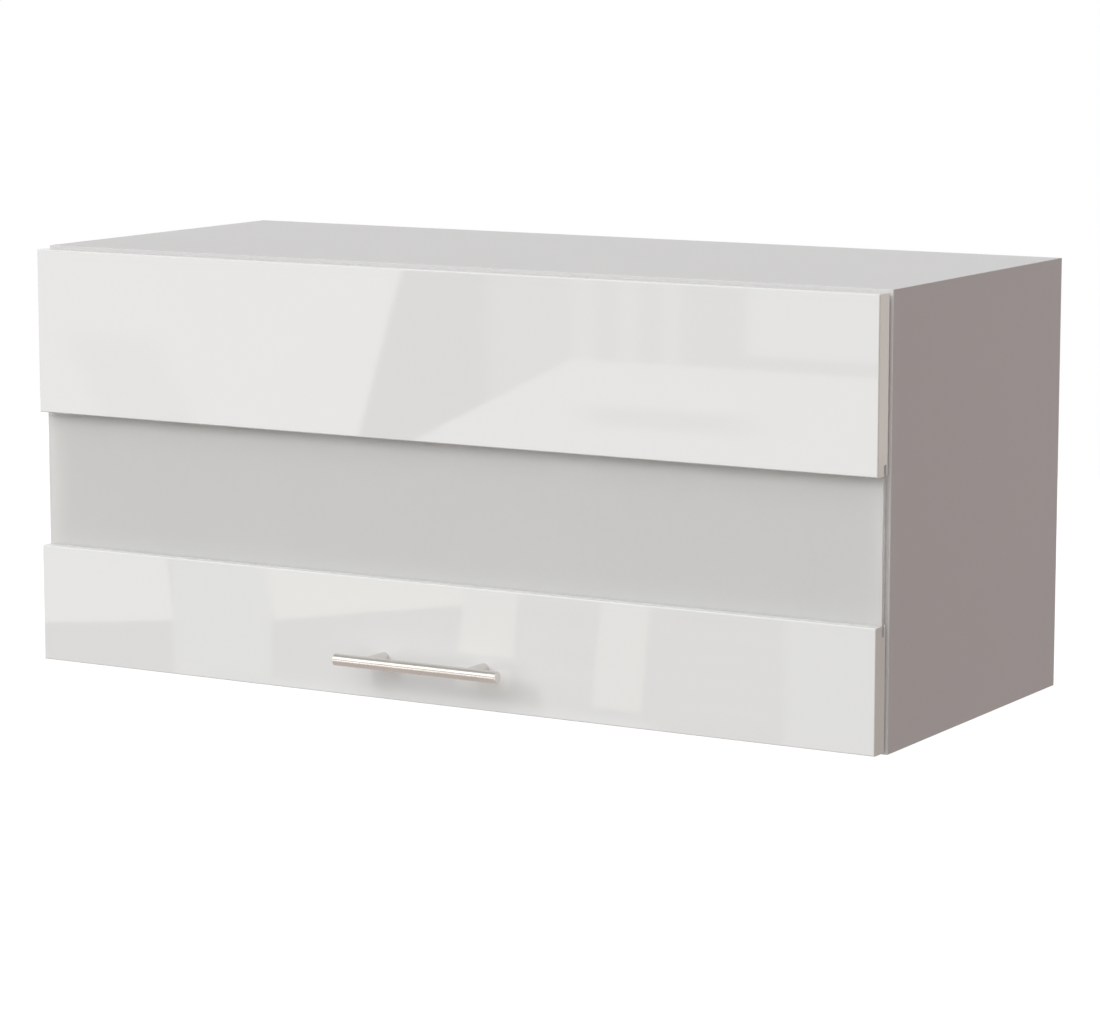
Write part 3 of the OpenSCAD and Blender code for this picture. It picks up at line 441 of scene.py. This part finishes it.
def makeKeyLight():  # a tall softbox in front on the left
    k = keyLight
    lamp = bpy.data.lights.new("keyLight", "AREA")
    lamp.shape = "RECTANGLE"
    lamp.size, lamp.size_y = k["size"]
    lamp.energy = k["level"] * (math.pi * k["far"]) ** 2
    placeLamp("keyLight", lamp, k["towards"], k["far"])


backLight = {"towards": (-0.2, 0.95, 0.15), "level": 0.2, "angle": 60}


def makeBackLight():
    lamp = bpy.data.lights.new("backLight", "SUN")
    lamp.energy = backLight["level"] * math.pi
    lamp.angle = math.radians(backLight["angle"])
    placeLamp("backLight", lamp, backLight["towards"], 1.0)


makeFloor()
makeWorld()
makeKeyLight()
makeBackLight()
print("studio ready")


# the place and lens that give the photograph's view
cameraFacts = {"place": (1.68027, -3.01764, 0.64181), "azimuth": 30.415, "downwards": 8.65,
               "lens": 128.76, "sensor": 36, "near": 0.05, "farthest": 200}


def makeCamera():
    c = cameraFacts
    data = bpy.data.cameras.new("camera")
    data.lens = c["lens"]
    data.sensor_width = c["sensor"]
    data.clip_start = c["near"]
    data.clip_end = c["farthest"]
    camera = bpy.data.objects.new("camera", data)
    camera.location = c["place"]
    camera.rotation_euler = (math.radians(90 - c["downwards"]), 0, math.radians(c["azimuth"]))
    bpy.context.scene.collection.objects.link(camera)
    bpy.context.scene.camera = camera


makeCamera()
bpy.context.scene.view_settings.view_transform = "Standard"
print("camera ready")


# Pale cards that only gloss and metal show. A door card is placed by the part of the door that shows it,
# across from the left end and up from the underside, in shares of the width and the height.
cardFacts = {"planeY": -4.0, "step": 0.01, "soft": 0.03, "stripeDepth": 0.35}
cardTints = {"plain": (1.0, 0.99, 0.96), "cream": (1.0, 0.95, 0.8), "warm": (1.0, 0.84, 0.74),
             "sand": (1.0, 0.9, 0.85), "green": (0.96, 1.0, 0.93)}
doorCards = {"backCard": {"across": (-0.1, 1.1), "up": (-0.1, 1.1), "level": 0.5, "tint": "warm"},
             "leftCard": {"across": (-0.15, 0.445), "up": (0.55, 1.1), "level": 2.6, "lean": 0.13},
             "leftShade": {"across": (0.06, 0.2), "up": (0.5, 0.82), "level": 2.1, "lean": -0.6,
                           "soft": 0.3},
             "rightCard": {"across": (0.55, 1.1), "up": (0.55, 1.1), "level": 1.1, "soft": 0.1},
             "stripedCard": {"across": (0.64, 0.79), "up": (0.7, 1.1), "level": 1.7, "soft": 0.1,
                             "stripes": 3},
             "farRightCard": {"across": (0.85, 1.1), "up": (0.84, 1.1), "level": 2.1, "soft": 0.12},
             "wedgeCard": {"across": (0.49, 1.3), "up": (0.44, 0.82), "level": 2.4, "lean": 0.42},
             "wedgeShade": {"across": (0.64, 0.9), "up": (0.665, 0.725), "level": 1.5, "soft": 0.6},
             "lowLeftCard": {"across": (-0.1, 0.168), "up": (0.1, 0.45), "level": 2.3, "turn": 6},
             "greyCard": {"across": (0.172, 0.3), "up": (-0.1, 0.45), "level": 1.4, "tint": "green"},
             "lowMiddleCard": {"across": (0.29, 0.54), "up": (0.2, 0.45), "level": 2.3,
                               "tint": "cream", "turn": 9},
             "firstTallCard": {"across": (0.535, 0.6), "up": (0.05, 0.45), "level": 1.8,
                               "tint": "cream", "lean": 0.3},
             "firstLinedCard": {"across": (0.602, 0.693), "up": (0.05, 0.3), "level": 0.9,
                                "tint": "warm", "lines": 3},
             "secondTallCard": {"across": (0.695, 0.752), "up": (0.04, 0.45), "level": 1.8,
                                "tint": "cream", "lean": 0.3},
             "secondLinedCard": {"across": (0.755, 0.895), "up": (0.03, 0.3), "level": 0.8,
                                 "tint": "warm", "lines": 5},
             "lowRightCard": {"across": (0.9, 1.1), "up": (-0.1, 0.45), "level": 1.2, "tint": "green"},
             "footCard": {"across": (0.2, 0.78), "up": (-0.2, 0.035), "level": 1.2, "tint": "green",
                          "soft": 0.15}}
# the cards further round the cabinet are placed from the foot of the door's front, in metres
roomCards = {"bandCard": {"towards": (-0.56, -0.66, 0.66), "far": 5.5, "size": (2.4, 3.9), "level": 2.0},
             "underCard": {"towards": (-0.5, -0.83, -0.83), "far": 1.28, "size": (3.8, 3.6),
                           "facing": (0, 0, 1), "level": 0.62, "tint": "sand", "soft": 0.08},
             "topCard": {"towards": (-0.2, -0.2, 1.0), "far": 2.4, "size": (3.6, 2.4), "level": 0.5,
                         "facing": (0, 0, -1), "soft": 0.2},
             "sideCard": {"towards": (0.53, 0.83, -0.02), "far": 4.0, "size": (1.6, 0.7), "level": 2.1,
                          "soft": 0.5},
             "middleCard": {"towards": (-0.5, -0.85, 0.14), "far": 5.5, "size": (4.5, 1.3), "level": 0.6,
                            "tint": "sand", "soft": 0.15}}


def mirroredAt(across, up, planeY):  # the point that the camera sees in the door at that place
    place = Vector(cameraFacts["place"])
    mirrored = Vector((place.x, 2 * doorFront - place.y, place.z))
    onDoor = Vector((doorLow.x + across * (doorHigh.x - doorLow.x), doorFront, up * cabinetTop))
    return mirrored + (onDoor - mirrored) * (planeY - mirrored.y) / (doorFront - mirrored.y)


def softEdge(tree, place, soft):  # 1 inside the card, fading to 0 at its edge
    fade = addNode(tree, "ShaderNodeMapRange", {"From Min": 1.0, "From Max": 1.0 - soft},
                   interpolation_type="SMOOTHSTEP")
    tree.links.new(mathOf(tree, "ABSOLUTE", place), fade.inputs["Value"])
    return fade.outputs["Result"]


def stripesOf(tree, place, count, level):  # the level, a little lower in each stripe
    wave = mathOf(tree, "SINE", mathOf(tree, "MULTIPLY", place, count * math.pi))
    return spread(tree, wave, level * (1 - cardFacts["stripeDepth"]), level, -1, 1)


def cardSheet(name, lean):
    wide = 1 + abs(lean)
    corners = ((-wide, 0, -1), (wide, 0, -1), (wide, 0, 1), (-wide, 0, 1))
    bm = bmesh.new()
    bm.faces.new([bm.verts.new(corner) for corner in corners])
    mesh = bpy.data.meshes.new(name)
    bm.to_mesh(mesh)
    bm.free()
    return mesh


def cardGlow(name, facts, lean):
    mat = bpy.data.materials.new(name)
    mat.use_nodes = True
    tree = mat.node_tree
    tree.nodes.remove(tree.nodes["Principled BSDF"])
    point = objectPoint(tree)
    across, up = partOf(tree, point, "X"), partOf(tree, point, "Z")
    leaning = mathOf(tree, "ADD", across, mathOf(tree, "MULTIPLY", up, -lean))
    soft = facts.get("soft", cardFacts["soft"])
    inside = mathOf(tree, "MULTIPLY", softEdge(tree, leaning, soft), softEdge(tree, up, soft))
    tint = cardTints[facts.get("tint", "plain")]
    glow = addNode(tree, "ShaderNodeEmission", {"Color": (*tint, 1), "Strength": facts["level"]})
    for key, place in (("stripes", across), ("lines", up)):
        if key in facts:
            tree.links.new(stripesOf(tree, place, facts[key], facts["level"]), glow.inputs["Strength"])
    clear = addNode(tree, "ShaderNodeBsdfTransparent")
    setSurface(tree, mixShaders(tree, inside, clear, glow))
    return mat


def makeCard(name, facts, middle, size, facing):
    lean = facts.get("lean", 0.0)
    mesh = cardSheet(name, lean)
    mesh.materials.append(cardGlow(name, facts, lean))
    card = bpy.data.objects.new(name, mesh)
    card.location = middle
    card.scale = (size[0] / 2, 1, size[1] / 2)
    card.rotation_mode = "QUATERNION"
    card.rotation_quaternion = facing.to_track_quat("Y", "Z")
    if "turn" in facts:
        card.rotation_mode = "XYZ"
        card.rotation_euler = (0, -math.radians(facts["turn"]), 0)
    for rays in ("camera", "diffuse", "shadow", "transmission"):
        setattr(card, "visible_" + rays, False)
    bpy.context.scene.collection.objects.link(card)


for number, (name, facts) in enumerate(doorCards.items()):
    planeY = cardFacts["planeY"] + number * cardFacts["step"]
    low = mirroredAt(facts["across"][0], facts["up"][0], planeY)
    high = mirroredAt(facts["across"][1], facts["up"][1], planeY)
    makeCard(name, facts, (low + high) / 2, (high.x - low.x, high.z - low.z), Vector((0, 1, 0)))
for name, facts in roomCards.items():
    towards = Vector(facts["towards"]).normalized()
    facing = Vector(facts.get("facing", -towards))
    makeCard(name, facts, Vector((0, doorFront, 0)) + towards * facts["far"], facts["size"], facing)
print("cards", len(doorCards) + len(roomCards))
